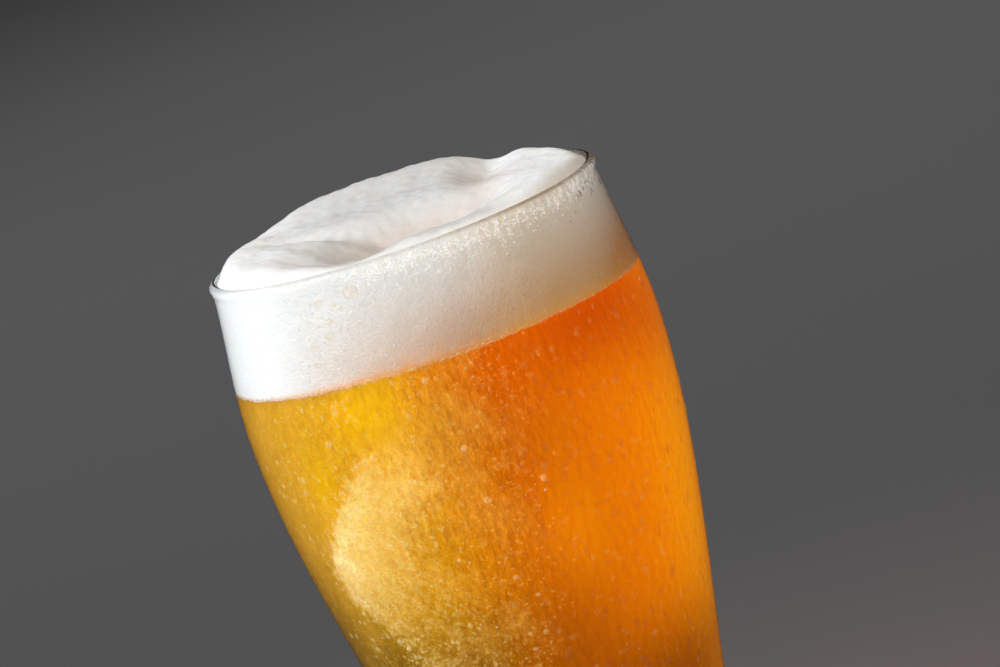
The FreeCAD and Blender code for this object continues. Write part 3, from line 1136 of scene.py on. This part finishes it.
def bead_density(degrees, height):
    """A band under the rim with a thin tail, denser in upright runs, on the right of the front."""
    front = smooth(degrees, -24, -8) * (1 - smooth(degrees, 74, 84))
    band = np.exp(-((RIM - 2.2 - height) / 1.5) ** 2)
    tail = np.exp(-((RIM - 4.0 - height) / 2.5) ** 2)
    hanging = band + 0.25 * tail
    run = np.cos(np.radians(degrees) * RUNS_ROUND) > 0
    return front * hanging * (0.45 + 0.55 * run) + 0.02 * hanging


turns, heights, rng = pick(3000, bead_density, low=(-180, RIM - 9), high=(180, RIM - 1.3), seed=17)
sizes = sizes_of(rng, len(turns), small=0.09, large=0.26, power=2.2, tall=1.5, deep=0.6)
centres, outward = on_wall(turns, heights, inside_radius, sizes[:, 2] * 0.4 - FOAM_SINK)
rim_beads = strewn("rim_beads", centres, sizes, outward)


def gap_shade_density(degrees, height):
    """A bell a little lower than the beads, at the far right."""
    return smooth(degrees, 48, 62) * np.exp(-((RIM - 4.5 - height) / 2.6) ** 2)


# The flecks are painted shade: dark marks where the froth has let go.
turns, heights, rng = pick(40, gap_shade_density, low=(46, RIM - 10), high=(96, RIM - 1.5), seed=19)
sizes = sizes_of(rng, len(turns), small=0.18, large=0.46, power=1.5, tall=1.7, deep=0.5)
centres, outward = on_wall(turns, heights, inside_radius, -FOAM_SINK)
rim_gap_shade = strewn("rim_gap_shade", centres, sizes, outward)


# %% [markdown]
# ## Skins for the bubbles and drops
# A real bubble is clear gas, and a drop is clear water. Traced as they are, thousands of tiny
# lenses would be slow and full of noise, and most would look black. The drops are few enough to
# be clear. A bubble instead shows some of the beer behind it, some of its own pale colour, and a
# glow for the light that fills the beer. None of them casts a shadow, as real ones hardly do.

# %% Skins for the bubbles and drops
def clear_material(name, tint, ior, roughness):
    """Clear stuff that bends light and lets a lamp through."""
    material, start = new_material(name)
    darker = (*(0.94 * part for part in tint[:3]), 1)
    shade = noise(place_of(start), 2.0, 2.0).mix(tint, darker)
    body = start.node("ShaderNodeBsdfPrincipled", None, {
        "Base Color": shade, "Transmission Weight": 1.0, "IOR": ior,
        "Roughness": noise(place_of(start), 0.5, 1.0) * 0.04 + roughness})
    return finished(material, see_and_light(start, body, (1, 1, 1, 1)))


def froth_material(name, light, dark, glow, solid, like_beer=0.0, lit=0.35, roughness=0.18):
    """Small round bubbles. They glow with the light inside the beer, and lit says how much a
    lamp adds. Solid below 1 lets some of what is behind them show, and like_beer above 0 mixes
    in the beer's own colour there."""
    material, start = new_material(name)
    shade = noise(place_of(start), 0.9, 2.0).clamp(0.35, 0.65)
    body = shade.mix(light, dark)
    if like_beer:
        body = (shade * 0.15 + like_beer).mix(body, attribute(start, "paint", 0))
    base = start.node("ShaderNodeVectorMath", {"operation": "SCALE"}, {0: body, "Scale": lit})
    surface = start.node("ShaderNodeBsdfPrincipled", None, {
        "Base Color": base, "Roughness": roughness, "IOR": 1.34, "Alpha": solid,
        "Emission Color": body, "Emission Strength": glow})
    return finished(material, surface)


# %% Every bubble and drop gets its skin
def dress(piece, material):
    """Gives a piece its skin and its ride on the pint, and lets it cast no shadow."""
    piece.data.materials.append(material)
    piece.visible_shadow = False
    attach(piece, "root")


for piece in (fizz_bubbles, far_bubbles, plume_bubbles, cling_bubbles, froth_line):
    at = points_of(piece)
    give(piece, "paint", beer_and_gas(bearing(at[:, 0], at[:, 1]), at[:, 2]))

dress(fizz_bubbles, froth_material("fizz_skin", colour(255, 216, 112), colour(238, 172, 52),
                                   glow=0.82, solid=0.42, like_beer=0.55))
dress(far_bubbles, froth_material("far_skin", colour(250, 206, 88), colour(228, 158, 38),
                                  glow=0.66, solid=0.45, like_beer=0.6))
dress(plume_bubbles, froth_material("plume_skin", colour(248, 222, 124), colour(232, 186, 66),
                                    glow=0.77, solid=0.34, like_beer=0.40))
dress(cling_bubbles, froth_material("bubble_skin", colour(254, 238, 186), colour(240, 200, 100),
                                    glow=0.80, solid=0.45, like_beer=0.40))
dress(froth_line, froth_material("froth_skin", colour(246, 222, 178), colour(232, 184, 110),
                                 glow=0.66, solid=0.45, like_beer=0.4))
dress(dew_drops, clear_material("dew", (1.0, 0.95, 0.84, 1), ior=1.3, roughness=0.08))
dress(foam_windows, froth_material("window_skin", colour(216, 203, 182), colour(202, 188, 166),
                                   glow=0.51, solid=0.44, lit=0.42, roughness=0.5))
dress(rim_beads, froth_material("bead_skin", colour(255, 254, 252), colour(242, 237, 230),
                                glow=0.55, solid=0.30, lit=0.4, roughness=0.5))
# The flecks are painted shade, dark and without glow.
dress(rim_gap_shade, froth_material("gap_shade_skin", colour(140, 120, 98), colour(92, 76, 58),
                                 glow=0.0, solid=0.6, lit=1.0))


# %% [markdown]
# ## Which piece stands for which node
# Each new surface replaces its CAD node for the eye, and rides on the one body that the pint has.

# %% Riding and replacing
for piece, node in ((glass, "glass"), (beer, "beer"), (foam, "foam")):
    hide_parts(node)
    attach(piece, "root")
    print(f"{piece.name} replaces {node}")


# %% [markdown]
# ## Floor
# A plain floor runs so far back that it fills the view behind the glass, and no wall is needed.
# It is left out of reflections, where it would lie over the colour of the beer.

# %% Floor
def floor_material():
    """A pale, dull grey, very slightly uneven."""
    material, start = new_material("pale_floor")
    body = noise(place_of(start), 300.0, 2.0).mix((0.72, 0.72, 0.73, 1), (0.78, 0.78, 0.79, 1))
    surface = start.node("ShaderNodeBsdfPrincipled", None,
                         {"Base Color": body, "Roughness": 0.7})
    return finished(material, surface)


FLOOR_HALF = 9000.0
floor_points = np.array([(-1, -1, 0), (1, -1, 0), (1, 1, 0), (-1, 1, 0)]) * FLOOR_HALF
floor = new_piece("floor", floor_points, [[0, 1, 2, 3]], rounded=False)
floor.data.materials.append(floor_material())
floor.visible_glossy = False


# %% [markdown]
# ## Lamps
# A soft lamp on the left is the main light, and a weaker, warmer one fills in from the right. A
# small one behind on the right draws the bright edge of the beer, and another behind on the left
# lifts the back of the pint. One broad lamp overhead is for the floor alone. The first three
# light only the pint, as if a card kept them off the floor, so that no bright pool shows on it.

# %% A soft lamp and its place
def lamp(name, place, target, size, power, tint, spread=180):
    """A soft rectangular lamp. Place and target are in metres."""
    light = bpy.data.lights.new(name, "AREA")
    light.shape = "RECTANGLE"
    light.size, light.size_y = size
    light.energy = power
    light.color = tint
    light.spread = math.radians(spread)
    made = bpy.data.objects.new(name, light)
    made.location = place
    direction = np.array(target) - np.array(place)
    made.rotation_euler = look(direction)
    bpy.context.scene.collection.objects.link(made)
    return made


def look(direction):
    """Euler angles that point an object's -Z along a direction, with its top upwards."""
    x, y, z = np.asarray(direction) / np.linalg.norm(direction)
    return (math.acos(-z), 0.0, math.atan2(-x, y))


# The lamps stand round a point at this height on the glass's axis, in metres.
PIVOT = 0.12


def around_glass(degrees, elevation, distance):
    """A place at this bearing from the front, to the right, this high and far from the pivot."""
    turn, rise = math.radians(degrees), math.radians(elevation)
    return (distance * math.sin(turn) * math.cos(rise),
            -distance * math.cos(turn) * math.cos(rise), PIVOT + distance * math.sin(rise))


# %% The five lamps
key = lamp("key_light", around_glass(-60, 27, 0.85), target=(0.0, 0.0, 0.09),
           size=(0.26, 0.26), power=0.44, tint=(0.92, 0.965, 1.0), spread=34)
edge = lamp("edge_light", around_glass(142, 26, 0.6), target=(0.0, 0.0, PIVOT),
            size=(0.16, 0.3), power=0.12, tint=(1.0, 0.96, 0.90), spread=44)
rear = lamp("rear_light", around_glass(-128, 34, 0.7), target=(0.0, 0.0, PIVOT),
            size=(0.3, 0.3), power=0.05, tint=(1.0, 0.99, 0.98), spread=44)
fill = lamp("fill_light", around_glass(40, 30, 0.8), target=(0.0, 0.0, 0.11),
            size=(0.4, 0.3), power=0.22, tint=(1.0, 0.91, 0.80), spread=38)
room = lamp("room_light", (0.0, 1.2, 2.6), target=(0.0, 1.2, 0.0),
            size=(2.4, 2.4), power=3.8, tint=(1.0, 0.99, 1.0), spread=110)
for light in (key, edge, rear, fill, room):
    print(f"{light.name}: {light.data.energy:.2f} W at", np.round(light.location, 2).tolist())
fill.visible_glossy = False
edge.visible_glossy = False
for light in (key, edge, rear, fill, room):
    light.visible_camera = False


# %% Which lamp lights what
def only(name, pieces):
    """A collection of these pieces, for a lamp to light and nothing else."""
    group = bpy.data.collections.new(name)
    for piece in pieces:
        group.objects.link(piece)
    return group


pint_only = only("pint_only", [piece for piece in bpy.context.scene.objects
                               if piece.type == "MESH" and piece != floor])
for light in (key, fill, edge):
    light.light_linking.receiver_collection = pint_only
room.light_linking.receiver_collection = only("floor_only", [floor])

world = bpy.data.worlds.new("soft_room")
world.use_nodes = True
world.node_tree.nodes["Background"].inputs["Color"].default_value = (0.92, 0.94, 1.0, 1)
world.node_tree.nodes["Background"].inputs["Strength"].default_value = 0.025
bpy.context.scene.world = world
bpy.context.scene.view_settings.view_transform = "Standard"


# %% [markdown]
# ## Camera
# The camera stands a little higher than the rim and looks down into the head. It uses a long
# lens from nearly a metre away, so the walls hardly converge. It is rolled about its own axis,
# so that the upright glass leans across the view. It aims a little to the right of the glass's
# axis and high above its foot, which is out of view.

# %% Camera
AIM = np.array([11.4, 0.0, RIM - 28.8]) * MM
DISTANCE = 0.910
ELEVATION = math.radians(9.966)
ROLL = math.radians(19.06)
camera = bpy.data.objects.new("camera", bpy.data.cameras.new("camera"))
camera.data.lens = 162.0
camera.data.sensor_width = 36.0
right = np.array([1.0, 0.0, 0.0])
up = np.array([0.0, math.sin(ELEVATION), math.cos(ELEVATION)])
backward = np.array([0.0, -math.cos(ELEVATION), math.sin(ELEVATION)])
rolled_right = right * math.cos(ROLL) - up * math.sin(ROLL)
rolled_up = right * math.sin(ROLL) + up * math.cos(ROLL)
place = AIM + backward * DISTANCE
axes = np.eye(4)
axes[:3, :] = np.stack([rolled_right, rolled_up, backward, place], axis=1)
camera.matrix_world = Matrix(axes.tolist())
bpy.context.scene.collection.objects.link(camera)
bpy.context.scene.camera = camera
print("camera at", np.round(place, 3).tolist())
